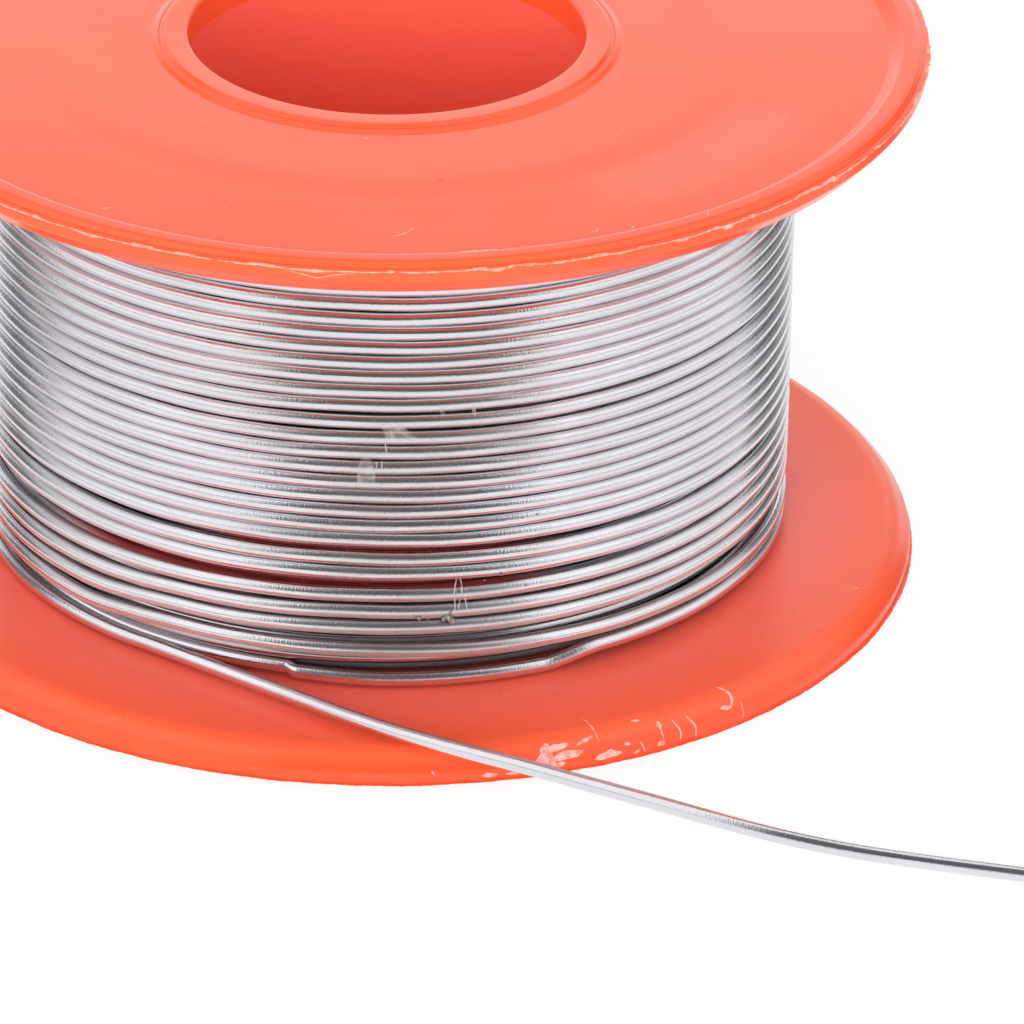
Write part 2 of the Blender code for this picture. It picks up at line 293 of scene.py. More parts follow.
FILM_THREADS = [
    [(270.2, 18.4), (270.4, 17.75)], [(269.0, 17.2), (269.1, 16.8)], [(269.8, 17.25), (269.8, 16.8)],
    [(280.1, 9.55), (279.9, 9.1), (279.8, 8.6)], [(280.6, 9.55), (280.8, 9.1), (280.9, 8.6)],
    [(279.9, 8.35), (279.9, 7.55)], [(281.3, 8.3), (281.6, 7.5)], [(280.6, 8.2), (280.4, 7.6)],
]
FILM_THREAD_RADIUS = 0.04 * MM
FILM_THREAD_STEP = 0.1 * MM
FLUX_CRUMBS = [
    (279.0, 7.1, 0.55), (279.6, 6.85, 0.4), (278.4, 7.0, 0.35), (279.3, 7.45, 0.25), (275.0, 7.15, 0.34),
    (274.4, 7.25, 0.2), (276.2, 7.05, 0.14), (286.4, 9.55, 0.22), (290.0, 8.6, 0.16), (272.0, 17.2, 0.1),
    (284.0, 9.3, 0.12), (291.5, 13.1, 0.14), (269.0, 21.0, 0.1), (262.5, 14.2, 0.1), (288.2, 7.6, 0.12),
]
CRUMB_SHADES = (0.15, 0.125, 0.105, 1), (0.36, 0.32, 0.29, 1)
CRUMB_ROWS = 6
CRUMB_COLUMNS = 9
CRUMB_POLE = 0.1
CRUMB_UNEVEN = 0.6, 1.2
CRUMB_STRETCH = 0.7, 1.2

# Free lead: the route of the model's own solid
LEAD_ROUTE_MM = [
    (-13.38, -19.59, 2.95), (-11.86, -20.74, 2.95), (-9.47, -22.54, 2.95), (-7.07, -24.35, 2.95),
    (-4.68, -26.15, 2.95), (-2.28, -27.96, 2.96), (0.20, -29.65, 2.98), (2.60, -31.10, 3.00),
    (5.10, -32.44, 3.00), (7.85, -33.82, 2.98), (11.20, -35.59, 2.92), (15.40, -37.67, 2.78),
    (18.60, -39.15, 2.60), (21.90, -40.33, 2.30), (25.00, -40.99, 1.92), (27.90, -41.25, 1.52),
    (31.30, -41.39, 1.08), (34.50, -41.58, 0.74), (37.00, -41.82, 0.54), (39.50, -42.15, 0.42),
]
LEAD_POINT_STEP = 0.4 * MM
ROUTE_FINENESS = 16
CUT_LENGTH = 0.9 * MM
CUT_EDGE = 0.15

# Studio as the gloss sees it: each area's sides, in degrees to the right of the camera, its lower and upper
# edge, in degrees above the horizon, and its brightness
STUDIO_AREAS = [
    ((46, 104), (8, 56), 1.15), ((-100, -42), (8, 75), 1.12), ((-104, 104), (0, 4), 0.5),
    ((-28, 36), (4, 74), 0.11), ((-125, -107), (-35, 38), 0.16), ((121, 140), (-30, 30), 0.25),
    ((-150, -130), (28, 44), 0.25), ((130, 148), (16, 34), 0.08), ((166, 181), (-5, 24), 1.55),
    ((-181, -166), (-5, 24), 1.55), ((166, 181), (28, 60), 0.75), ((-181, -166), (28, 60), 0.75),
    ((160, 181), (44, 66), 0.2), ((-181, -160), (44, 66), 0.2),
]
TABLE_LEFT = -0.05
TABLE_RIGHT = 0.06
TABLE_REACH = 1.5
TABLE_COLOUR = (0.92, 0.92, 0.92, 1)
TABLE_GLOW = 0.92
WHITE = (1, 1, 1, 1)
LAMP_PLACE = Vector((-0.1, -0.6, 0.2))
LAMP_TARGET = Vector((0.0, 0.0, 0.02))
LAMP_SIZE = 0.36
LAMP_WATTS = 2.4
AREA_SOFT_SIDES = 8.0
AREA_SOFT_EDGE = 0.06
DIFFUSE_BRIGHTNESS = 0.96

# Camera: the photograph's frame is square; angles in radians
FRAME_PIXELS = 1024
FOCAL_PIXELS = 9000
SENSOR_WIDTH = 36.0
CAMERA_PLACE = Vector((0.0, -479.56, 248.73)) * MM
CAMERA_YAW = 0.0161
CAMERA_PITCH = 0.4757
CAMERA_ROLL = 0.0152
CLIP_START = 10 * MM
CLIP_END = 10.0


class Value:
    """A socket of a shader tree. Operators on it add Math nodes, and node() adds any other node."""

    def __init__(self, tree, socket=None):
        self.tree = tree
        self.socket = socket

    def node(self, kind, settings=None, inputs=None, output=0):
        """The output of a new node: its settings are set first, then its sockets' values or links."""
        made = self.tree.nodes.new("ShaderNode" + kind)
        for name, setting in (settings or {}).items():
            setattr(made, name, setting)
        for name, value in (inputs or {}).items():
            self.feed(made.inputs[name], value)
        return Value(self.tree, made.outputs[output])

    def feed(self, socket, value):
        """Links a value of this class to a socket, and sets any other value on it."""
        if isinstance(value, Value):
            self.tree.links.new(value.socket, socket)
        else:
            socket.default_value = value

    def math(self, operation, *values):
        return self.node("Math", {"operation": operation}, dict(enumerate(values)))

    def __add__(self, other):
        return self.math("ADD", self, other)

    def __sub__(self, other):
        return self.math("SUBTRACT", self, other)

    def __rsub__(self, other):
        return self.math("SUBTRACT", other, self)

    def __mul__(self, other):
        return self.math("MULTIPLY", self, other)

    def __pow__(self, other):
        return self.math("POWER", self, other)

    __radd__ = __add__
    __rmul__ = __mul__

    def largest(self, other):
        return self.math("MAXIMUM", self, other)

    def rise(self, low, high):
        """0 below low, 1 above high, and smooth between them."""
        return self.node("MapRange", {"interpolation_type": "SMOOTHSTEP"},
                         {"Value": self, "From Min": low, "From Max": high})

    def band(self, low, high, soft):
        """1 between low and high, with soft edges outside them."""
        return self.rise(low - soft, low) * (1 - self.rise(high, high + soft))

    def mix(self, first, second):
        """The first colour where this is 0 and the second where it is 1."""
        return self.node("Mix", {"data_type": "RGBA"}, {0: self, 6: first, 7: second}, 2)

    def parts(self):
        """The three components of a vector."""
        return [self.node("SeparateXYZ", None, {0: self}, axis) for axis in range(3)]

    def place(self):
        """Place on the part, in its own frame."""
        return self.node("TexCoord", None, None, "Object")

    def noise(self, vector, scale, detail):
        return self.node("TexNoise", None, {"Vector": vector, "Scale": scale, "Detail": detail})

    def bump(self, height, strength, distance):
        return self.node("Bump", None, {"Strength": strength, "Distance": distance, "Height": height})

    def stretched(self, vector, scale):
        return self.node("VectorMath", {"operation": "MULTIPLY"}, {0: vector, 1: scale})


def new_material(name):
    """A node material, the start of its expressions, and its Principled shader."""
    material = bpy.data.materials.new(name)
    material.use_nodes = True
    tree = material.node_tree
    return material, Value(tree), tree.nodes["Principled BSDF"]


def set_shader(start, shader, **inputs):
    """Feeds a shader's inputs, which are named with _ for a space."""
    for name, value in inputs.items():
        start.feed(shader.inputs[name.replace("_", " ")], value)


def reel_plastic():
    """Orange red moulded plastic with flow marks, dust, haze with painted light and sheen near the coil, a
    rubbed patch, and painted shade low on the lower rim.
    """
    material, start, shader = new_material("reel_plastic")
    place = start.place()
    x, y, z = place.parts()
    radius = (x * x + y * y) ** 0.5
    turn = start.math("ARCTAN2", y, x)
    flow = start.noise(place, scale=45.0, detail=3.0)
    cloud = start.noise(place, scale=260.0, detail=4.0)
    grain = start.noise(place, scale=5200.0, detail=2.0)
    specks = start.noise(place, scale=2600.0, detail=1.0).rise(0.79, 0.82)
    groove = z.band(*GROOVE_ZONE)
    # Partly dust haze, partly painted light and sheen on the faces near the coil
    hazy_and_lit = groove * (1 - radius.rise(*HAZE_AND_LIGHT_END))
    rubbed = turn.band(*RUBBED_TURN) * radius.band(*RUBBED_RADII)
    rubbed = rubbed * z.rise(*RUBBED_HEIGHTS) * (0.7 + 0.3 * grain.rise(0.3, 0.7))
    # Painted shade: the lower part of the lower rim deeper in colour
    rim_shade = radius.rise(*RIM_SHADE_RADII) * (1 - z.rise(*RIM_SHADE_HEIGHTS))
    colour = flow.rise(0.35, 0.65).mix(*PLASTIC_SHADES)
    colour = (hazy_and_lit * HAZE_AND_LIGHT_SHARE).mix(colour, HAZE_AND_LIGHT_COLOUR)
    colour = (rubbed * RUBBED_SHARE).mix(colour, RUBBED_COLOUR)
    colour = (rim_shade * RIM_SHADE_SHARE).mix(colour, RIM_SHADE_COLOUR)
    colour = specks.mix(colour, SPECK_COLOUR)
    set_shader(start, shader, Base_Color=colour, Normal=start.bump(grain + cloud, 0.2, 0.01 * MM), IOR=1.46,
               Roughness=0.15 + 0.06 * cloud + 0.16 * groove + 0.25 * rubbed,
               Subsurface_Weight=0.12, Subsurface_Radius=(1.0, 0.25, 0.12), Subsurface_Scale=1.2 * MM)
    return material


def torn_plastic(name, shades, clear):
    """Plastic that has been torn or scraped: paler and duller than its skin, and clear in patches."""
    light, dark = shades
    material, start, shader = new_material(name)
    place = start.place()
    patches = start.noise(place, scale=2200.0, detail=3.0)
    grain = start.noise(place, scale=9000.0, detail=2.0)
    set_shader(start, shader, Base_Color=patches.rise(0.35, 0.65).mix(dark, light),
               Normal=start.bump(grain + patches, 0.5, 0.02 * MM), Roughness=0.45 + 0.2 * patches,
               Alpha=1.0 - clear * patches.rise(0.4, 0.6))
    return material


def solder():
    """Bright drawn tin wire: draw lines, a ragged skin, a handled patch, and dull valleys between turns."""
    material, start, shader = new_material("solder")
    along = start.node("UVMap", {"uv_map": "along_wire"})
    place = start.place()
    x, y, z = place.parts()
    streaks = start.noise(start.stretched(along, (120.0, 36.0, 1.0)), scale=1.0, detail=3.0)
    ragged = start.noise(start.stretched(along, (9000.0, 12.0, 1.0)), scale=1.0, detail=2.0)
    patch = x.band(*HANDLED_SIDES) * z.band(*HANDLED_HEIGHTS) * (1 - y.rise(*HANDLED_DEPTH))
    handled = (0.35 + 0.65 * patch) * start.noise(place, scale=150.0, detail=3.0).rise(0.35, 0.6)
    pitted = ragged.rise(0.63, 0.72) * handled
    tilt = start.node("NewGeometry", None, None, "Normal").parts()[2]
    beside = y.rise(*VALLEY_BESIDE)
    low = 1 - z.rise(*VALLEY_LOW)
    upper_edge = UPPER_EDGE_DULL * tilt.rise(*UPPER_EDGE_TILT) * beside
    lower_edge = LOWER_EDGE_DULL * (0 - tilt).rise(*LOWER_EDGE_TILT) * beside.largest(low)
    valley = (upper_edge + lower_edge) * y.band(*VALLEY_DEPTH) * z.rise(*VALLEY_FOOT)
    colour = (pitted * 0.5).mix(handled.mix(SOLDER_COLOUR, HANDLED_COLOUR), PIT_COLOUR)
    set_shader(start, shader, Base_Color=colour, Metallic=1.0,
               Normal=start.bump(ragged + 0.5 * streaks, 1.0, 0.012 * MM),
               Roughness=0.14 + 0.06 * streaks + 0.12 * handled + 0.15 * pitted + valley)
    return material


def shaded_red_solder(name, clean, metal):
    """Wire of the layers beneath: of a given colour, with bands painted deep red as a painted reflection of
    the red flange in shade.
    """
    material, start, shader = new_material(name)
    place = start.place()
    x, y, z = place.parts()
    cloud = start.noise(place, scale=400.0, detail=3.0)
    # Painted reflection and shade: deep red bands in front, where the wire beneath mirrors the red flange in
    # the gaps
    in_red_band = 0.0
    for (low, high), (left, right) in RED_BANDS:
        across = x.band(left * MM, right * MM, RED_BAND_FADE)
        in_red_band = in_red_band + z.band(low * MM, high * MM, RED_BAND_EDGE) * across
    in_red_band = in_red_band * (1 - y.rise(*RED_BAND_DEPTH))
    red_reflection = cloud.rise(0.35, 0.65).mix(*RED_REFLECTION_SHADES)
    set_shader(start, shader, Base_Color=in_red_band.mix(clean, red_reflection), Metallic=metal * (1.0 - 0.6 * in_red_band),
               Normal=start.bump(cloud, 0.3, 0.01 * MM), Roughness=0.16 + 0.05 * cloud + 0.25 * in_red_band)
    return material


def flux_film(name, cover):
    """Clear, slightly cloudy film, which covers between two shares of what is under it."""
    clearest, cloudiest = cover
    material, start, shader = new_material(name)
    place = start.place()
    cloud = start.noise(place, scale=2500.0, detail=3.0)
    set_shader(start, shader, Base_Color=FILM_COLOUR, Roughness=0.25 + 0.2 * cloud,
               Alpha=clearest + (cloudiest - clearest) * cloud.rise(0.35, 0.7))
    return material


def flux_crumb():
    """Hardened flux with metal dust in it."""
    material, start, shader = new_material("flux_crumb")
    place = start.place()
    cloud = start.noise(place, scale=6000.0, detail=3.0)
    set_shader(start, shader, Base_Color=cloud.rise(0.35, 0.65).mix(*CRUMB_SHADES),
               Roughness=0.5 + 0.2 * cloud, Normal=start.bump(cloud, 0.6, 0.02 * MM))
    return material


def new_mesh(name, points, faces, smooth=True, sharp=None):
    """A mesh of points and faces: smooth or flat, and sharp past an angle in degrees if one is given."""
    mesh = bpy.data.meshes.new(name)
    mesh.from_pydata(points, [], faces)
    if smooth:
        mesh.shade_smooth()
    if sharp:
        mesh.set_sharp_from_angle(angle=math.radians(sharp))
    return mesh


def add_piece(name, mesh, material, node_name):
    """A piece that rides on the part's one body."""
    piece = bpy.data.objects.new(name, mesh)
    bpy.context.collection.objects.link(piece)
    mesh.materials.append(material)
    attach(piece, "root")
    if node_name:
        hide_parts(node_name)
    return piece


def grid_faces(rows, columns, close_rows):
    """Quads of a grid of vertices, closed across its columns and, if asked, across its rows."""
    first = np.arange(rows if close_rows else rows - 1)[:, None]
    after = (first + 1) % rows
    here = np.arange(columns)[None, :]
    beside = (here + 1) % columns
    quads = [first * columns + here, after * columns + here,
             after * columns + beside, first * columns + beside]
    return np.stack(np.broadcast_arrays(*quads), axis=-1).reshape(-1, 4)


def arc(centre, radii, start, end, steps=ARC_STEPS):
    """Points of an elliptical arc in a (radius, height) section, from one angle in degrees to another."""
    angles = np.radians(np.linspace(start, end, steps + 1))
    return [(centre[0] + radii[0] * math.cos(a), centre[1] + radii[1] * math.sin(a)) for a in angles]


def line(start, end, steps):
    """Points of a straight run of a section, without its two ends."""
    shares = np.linspace(0.0, 1.0, steps + 1)[1:-1]
    return [(start[0] + (end[0] - start[0]) * s, start[1] + (end[1] - start[1]) * s) for s in shares]


def softened(corner, before, after, reach=EDGE_ROUND, steps=EDGE_STEPS):
    """A corner of a section as a round that reaches a given way, with a point just past it on each side."""
    corner, before, after = (np.array(point) for point in (corner, before, after))
    back = (before - corner) / np.linalg.norm(before - corner)
    on = (after - corner) / np.linalg.norm(after - corner)
    outside = reach + EDGE_ROUND
    shares = np.linspace(0.0, 1.0, steps + 1)
    curve = [corner + back * reach * (1 - s) ** 2 + on * reach * s ** 2 for s in shares]
    return [tuple(p) for p in [corner + back * outside, *curve, corner + on * outside]]


def chamfer_section(rim_round):
    """Rim from the flange's inner face to the moulding line: a well rounded chamfer, then the wall."""
    face_edge = (RIM_CHAMFER_RADIUS, RIM_THICKNESS)
    wall_edge = (RIM_WALL_RADIUS, RIM_WALL_HEIGHT)
    line_foot = (RIM_WALL_RADIUS, MOULD_LINE_HEIGHT + MOULD_LINE_HALF)
    above_line = (RIM_WALL_RADIUS, line_foot[1] + EDGE_ROUND)
    face_round = softened(face_edge, (HUB_RADIUS, ROOT_THICKNESS), wall_edge, rim_round, ROUND_STEPS)
    return face_round + softened(wall_edge, face_edge, line_foot, WALL_ROUND) + [above_line, line_foot]


def shoulder_section():
    """Rounded shoulder from the ledge beside the moulding line to the top of the bead."""
    reach = (LEDGE_RADIUS - SHOULDER_RADIUS, LEDGE_HEIGHT - BEAD_DEPTH)
    return arc((SHOULDER_RADIUS, LEDGE_HEIGHT), reach, 0, -90, ROUND_STEPS)


def rim_section(rim_round):
    """Rim from the flange's inner face to its bead: chamfer, wall, moulding line, ledge and shoulder."""
    mould_line = [(MOULD_LINE_RADIUS, MOULD_LINE_HEIGHT),
                  (MOULD_LINE_RADIUS, MOULD_LINE_HEIGHT - MOULD_LINE_HALF / 2)]
    return chamfer_section(rim_round) + mould_line + shoulder_section()


def face_section():
    """Outer face from the bead's foot inwards: a dish with a soft step, then the bore's stepped lip."""
    lip_foot = (LIP_FOOT_RADIUS, RECESS_DEPTH)
    ledge = (LIP_LEDGE_RADIUS, LIP_STEP_DEPTH)
    step = (LIP_STEP_RADIUS, LIP_STEP_DEPTH)
    edge = (LIP_FLAT_RADIUS, 0.0)
    dish_edge = (BEAD_FOOT_RADIUS, RECESS_DEPTH + DISH_DEPTH)
    step_shares = np.linspace(1.0, 0.0, ARC_STEPS + 1)
    soft_step = [(DISH_RADIUS + DISH_STEP * s, RECESS_DEPTH + DISH_STEP_DEPTH * eased(s))
                 for s in step_shares]
    dish = [dish_edge, *line(dish_edge, soft_step[0], FACE_STEPS), *soft_step]
    plain = line(soft_step[-1], lip_foot, PLAIN_STEPS)
    corners = [soft_step[-1], lip_foot, ledge, step, edge, (BORE_RADIUS, 0.0)]
    lip = []
    for before, corner, after in zip(corners, corners[1:], corners[2:]):
        lip += softened(corner, before, after)
    return dish + plain + lip


def flange_section(rim_round):
    """Flange from the foot of the hub, along its inner face, round the rim and back to the bore."""
    foot = arc((HUB_RADIUS + HUB_FILLET, ROOT_THICKNESS + HUB_FILLET), (HUB_FILLET, HUB_FILLET), 180, 270)
    rim = rim_section(rim_round)
    inner_face = line(foot[-1], rim[0], FACE_STEPS)
    face = face_section()
    bead_edge = (BEAD_INNER_RADIUS, BEAD_DEPTH)
    bead = softened(bead_edge, rim[-1], face[0], BEAD_ROUND) + softened(face[0], bead_edge, face[1])
    mouth = arc((BORE_RADIUS + MOUTH_ROUND, MOUTH_ROUND), (MOUTH_ROUND, MOUTH_ROUND), 270, 180)
    return foot + inner_face + rim + bead + face[1:] + mouth


def turned_mesh(name, section, segments):
    """A closed (radius, height) section turned round the bore's axis."""
    angles = np.linspace(0.0, 2 * math.pi, segments, endpoint=False)[:, None]
    radius, height = section[None, :, 0], section[None, :, 1]
    points = np.stack(np.broadcast_arrays(radius * np.cos(angles), radius * np.sin(angles), height), axis=-1)
    faces = grid_faces(segments, len(section), True)
    return new_mesh(name, points.reshape(-1, 3).tolist(), faces.tolist(), sharp=TURNED_SHARP)


def reel_half(name, node_name, material, upper):
    """One half of the reel, turned from its section; the halves meet in a fine groove inside the hub."""
    joint = [(BORE_RADIUS, HUB_HALF - JOINT_CHAMFER), (BORE_RADIUS + JOINT_CHAMFER, HUB_HALF),
             (HUB_RADIUS, HUB_HALF)]
    section = np.array(flange_section(UPPER_RIM_ROUND if upper else LOWER_RIM_ROUND) + joint)
    if upper:
        section[:, 1] = REEL_HEIGHT - section[:, 1]
        section = section[::-1]
    mesh = turned_mesh(name, section, REEL_SEGMENTS)
    return add_piece(name, mesh, material, node_name)


def ragged_line(random, count, waves):
    """A closed random line of values about 0, made of waves of rising number and falling height."""
    angles = np.linspace(0.0, 2 * math.pi, count, endpoint=False)
    heights = np.zeros(count)
    for wave in waves:
        heights += np.sin(wave * angles + random.uniform(0.0, 2 * math.pi)) * random.uniform(0.5, 1.0)
    return heights / len(waves) ** 0.5


def flash(name, material, upper, torn_spots, ragged, random):
    """Thin fin of plastic round the moulding line, with a ragged edge, torn higher at given spots."""
    angles = np.linspace(0.0, 2 * math.pi, FLASH_SEGMENTS, endpoint=False)
    reach = 0.5 + 0.5 * ragged_line(random, FLASH_SEGMENTS, FLASH_REACH_WAVES)
    lift = ragged_line(random, FLASH_SEGMENTS, FLASH_LIFT_WAVES)
    torn = np.zeros(FLASH_SEGMENTS)
    for angle, half_width, height in torn_spots:
        away = (np.degrees(angles) - angle) / half_width
        torn += height * MM * np.exp(-away ** 2) * (1.0 + 0.3 * reach)
    edge = np.clip(1.0 - ragged + ragged * reach, FLASH_LEAST_REACH, 1.0)
    outer = FLASH_ROOT + (FLANGE_RADIUS - FLASH_ROOT) * edge
    middle = MOULD_LINE_HEIGHT + FLASH_HALF * 0.5 * lift
    thin = FLASH_HALF * (0.75 + 0.25 * reach)
    rows = [(np.full_like(angles, FLASH_ROOT), middle - thin), (outer, middle - thin * 0.7),
            (outer, middle + thin * 0.5), (RIM_WALL_RADIUS + torn * 0.25, middle + thin + torn),
            (np.full_like(angles, FLASH_ROOT), middle + thin * 1.4 + torn * 1.2)]
    points = []
    for radius, height in rows if not upper else rows[::-1]:
        level = REEL_HEIGHT - height if upper else height
        points.append(np.stack([radius * np.cos(angles), radius * np.sin(angles), level], axis=1))
    points = np.stack(points, axis=1)
    faces = grid_faces(FLASH_SEGMENTS, len(rows), True)
    mesh = new_mesh(name, points.reshape(-1, 3).tolist(), faces.tolist(), sharp=THIN_SHARP)
    return add_piece(name, mesh, material, None)


def lower_rim_surface(rim_round=LOWER_RIM_ROUND):
    """Lower rim from inner face to moulding line: distance past the face's edge, radius and height."""
    face_start = RIM_CHAMFER_RADIUS - rim_round - SCUFFED_FACE
    rim = np.array([(face_start, RIM_THICKNESS), *chamfer_section(rim_round)])
    steps = np.linalg.norm(np.diff(rim, axis=0), axis=1)
    along = np.concatenate([[0.0], np.cumsum(steps)]) - SCUFFED_FACE - rim_round
    return along, rim[:, 0], rim[:, 1]


def upper_rim_surface():
    """Upper rim from its moulding line downwards: distance below the line, radius and height."""
    along, radii, heights = lower_rim_surface(UPPER_RIM_ROUND)
    return (along[-1] - along)[::-1], radii[::-1], REEL_HEIGHT - heights[::-1]


def upper_face_surface():
    """Upper face from the lip of the bore to the shoulder of the rim: radius, radius again, and height."""
    outline = face_section() + [(BEAD_INNER_RADIUS, BEAD_DEPTH)] + shoulder_section()
    outline = np.array(sorted(point for point in outline if point[0] > LIP_FOOT_RADIUS))
    return outline[:, 0], outline[:, 0], REEL_HEIGHT - outline[:, 1]


def on_surface(surface, angle, along):
    """Point and outward direction on a turned surface, at an angle in degrees and along its outline."""
    stops, radii, heights = surface
    turned = math.radians(angle)
    outward = np.array((math.cos(turned), math.sin(turned), 0.0))
    along = np.clip(along, stops[0] + SURFACE_STEP, stops[-1] - SURFACE_STEP)
    before, after = along - SURFACE_STEP, along + SURFACE_STEP
    radius, height = np.interp(along, stops, radii), np.interp(along, stops, heights)
    run = np.interp(after, stops, radii) - np.interp(before, stops, radii)
    rise = np.interp(after, stops, heights) - np.interp(before, stops, heights)
    normal = -rise * outward + np.array((0.0, 0.0, run))
    return radius * outward + np.array((0.0, 0.0, height)), normal / np.linalg.norm(normal)


def ragged_widths(random, shares):
    """Random shares of a mark's width along it, which change smoothly."""
    knots = random.uniform(SCUFF_LEAST, 1.0, SCUFF_KNOTS)
    return np.interp(shares, np.linspace(0.0, 1.0, SCUFF_KNOTS), knots)


def scuffs(name, material, marks, surface, random):
    """Shallow burrs that lie on a turned surface, as wide as given in the middle and with ragged edges."""
    points, faces = [], []
    columns = len(SCUFF_ACROSS)
    for width, places in marks:
        radius = np.interp(places[0][1] * MM, surface[0], surface[1])
        flat = np.array([(math.radians(angle) * radius, along * MM, 0.0) for angle, along in places])
        route, _ = smooth_route(flat, SCUFF_STEP)
        heading = np.gradient(route[:, :2], axis=0)
        sideways = np.stack([heading[:, 1], -heading[:, 0]], axis=1)
        sideways /= np.linalg.norm(heading, axis=1, keepdims=True)
        shares = np.linspace(0.0, 1.0, len(route))
        swell = np.sin(math.pi * np.clip(shares, SCUFF_END, 1 - SCUFF_END)) ** SCUFF_SWELL
        left, right = (swell * width * MM / 2 * ragged_widths(random, shares) for _ in range(2))
        first = len(points)
        for row, spot in enumerate(route[:, :2]):
            for share, lift in SCUFF_ACROSS:
                place = spot + sideways[row] * share * (left[row] if share > 0 else right[row])
                point, normal = on_surface(surface, math.degrees(place[0] / radius), place[1])
                points.append(tuple(point + normal * SCUFF_HEIGHT * lift))
        for row in range(len(route) - 1):
            for column in range(columns - 1):
                here = first + row * columns + column
                faces.append((here, here + 1, here + columns + 1, here + columns))
    return add_piece(name, new_mesh(name, points, faces), material, None)


def wire_rings(points, widths, heights):
    """Rings of points round a wire, and the quads between them."""
    tangents = np.gradient(points, axis=0)
    tangents /= np.linalg.norm(tangents, axis=1, keepdims=True)
    side = np.cross(tangents, (0.0, 0.0, 1.0))
    side /= np.linalg.norm(side, axis=1, keepdims=True)
    lift = np.cross(side, tangents)
    girth = np.linspace(0.0, 2 * math.pi, WIRE_SIDES, endpoint=False) + math.pi
    across = np.cos(girth)[None, :, None] * side[:, None, :] * widths[:, None, None]
    upward = np.sin(girth)[None, :, None] * lift[:, None, :] * heights[:, None, None]
    return (points[:, None, :] + across + upward).reshape(-1, 3), grid_faces(len(points), WIRE_SIDES, False)


def wire_mesh(name, points, heights=None):
    """A tube along points, with its length and its girth as texture coordinates."""
    count = len(points)
    widths = np.full(count, WIRE_RADIUS)
    rings, faces = wire_rings(points, widths, widths if heights is None else heights)
    caps = [list(range(WIRE_SIDES)), list(range(count * WIRE_SIDES - 1, (count - 1) * WIRE_SIDES - 1, -1))]
    mesh = new_mesh(name, rings.tolist(), faces.tolist() + caps, sharp=THIN_SHARP)
    along = np.concatenate([[0.0], np.cumsum(np.linalg.norm(np.diff(points, axis=0), axis=1))])
    corners = np.empty(len(mesh.loops), dtype=np.int32)
    mesh.loops.foreach_get("vertex_index", corners)
    ring, spot = corners // WIRE_SIDES, corners % WIRE_SIDES
    round_share = spot / WIRE_SIDES
    quad_corners = len(faces) * 4
    wraps = np.zeros(len(corners), dtype=bool)
    wraps[:quad_corners] = np.isin(np.arange(quad_corners) % 4, (2, 3)) & (spot[:quad_corners] == 0)
    coordinates = np.stack([along[ring], np.where(wraps, 1.0, round_share)], axis=1)
    mesh.uv_layers.new(name="along_wire").data.foreach_set("uv", coordinates.ravel())
    return mesh


def eased(share):
    """A share that starts and ends gently, kept between 0 and 1."""
    share = min(max(share, 0.0), 1.0)
    return share * share * (3 - 2 * share)


def turn_height(turn, share):
    """Height of a turn on the front, from its left, share 0, to its right, share 1."""
    angle = FRONT_START + FRONT_SPAN * share
    drop = LEFT_DROPS.get(turn, 0.0) * (1 - eased((angle - LEFT_DROP_START) / LEFT_DROP_SPAN))
    height = FIRST_TURN_HEIGHT - turn * PITCH - (np.interp(angle, SAG_ANGLES, SAG_MM) + drop) * MM
    for above, left, right in SLACK:
        if turn > above:
            height -= (left + (right - left) * share) * MM
    return height


def slip_share(past):
    """How far the bottom turn has slipped outwards past the start of its jog: sharply, then slowly."""
    return JOG_SHARE * eased(past / JOG_SPAN) + (1 - JOG_SHARE) * eased(past / SLIP_SPAN)


def dip_share(angle):
    """1 where the bottom turn has slipped outwards, 0 elsewhere."""
    past = angle - 360.0 * DIP_TURN
    return slip_share(past - DIP_START) * (1 - eased((past - DIP_END + DIP_BEND) / DIP_BEND))


def tuck_share(angle):
    """1 where the bottom turn is tucked in beneath the others, until it has slipped outwards."""
    past = angle - 360.0 * DIP_TURN
    return eased(past / TUCK_SPAN) * (1 - slip_share(past - DIP_START))


def wobble(angle):
    """Small unevenness of the winding at an angle, which counts on from turn to turn."""
    turned = math.radians(angle)
    return WOBBLE * sum(math.sin(waves * turned + waves ** 2) for waves in WOBBLES_PER_TURN)


def winding_point(angle):
    """Centre of the outer wire at an angle in degrees, which counts on from turn to turn."""
    turn = math.floor((angle - FRONT_START) / 360.0)
    past = angle - FRONT_START - 360.0 * turn
    if past <= FRONT_SPAN:
        height = turn_height(turn, past / FRONT_SPAN)
    else:
        share = eased((past - FRONT_SPAN) / BACK_SPAN)
        height = turn_height(turn, 1.0) * (1 - share) + turn_height(turn + 1, 0.0) * share
    dip, tuck = dip_share(angle), tuck_share(angle)
    plain = 1 - dip - tuck
    height = (height + wobble(angle)) * plain + DIP_HEIGHT * dip + TUCK_HEIGHT * tuck
    radius = LAYER_RADIUS + WOBBLE_OUTWARDS * wobble(angle + 90.0)
    radius = radius * plain + DIP_RADIUS * dip + TUCK_RADIUS * tuck
    turned = math.radians(angle)
    return radius * math.cos(turned), radius * math.sin(turned), min(height, HIGHEST_TURN)


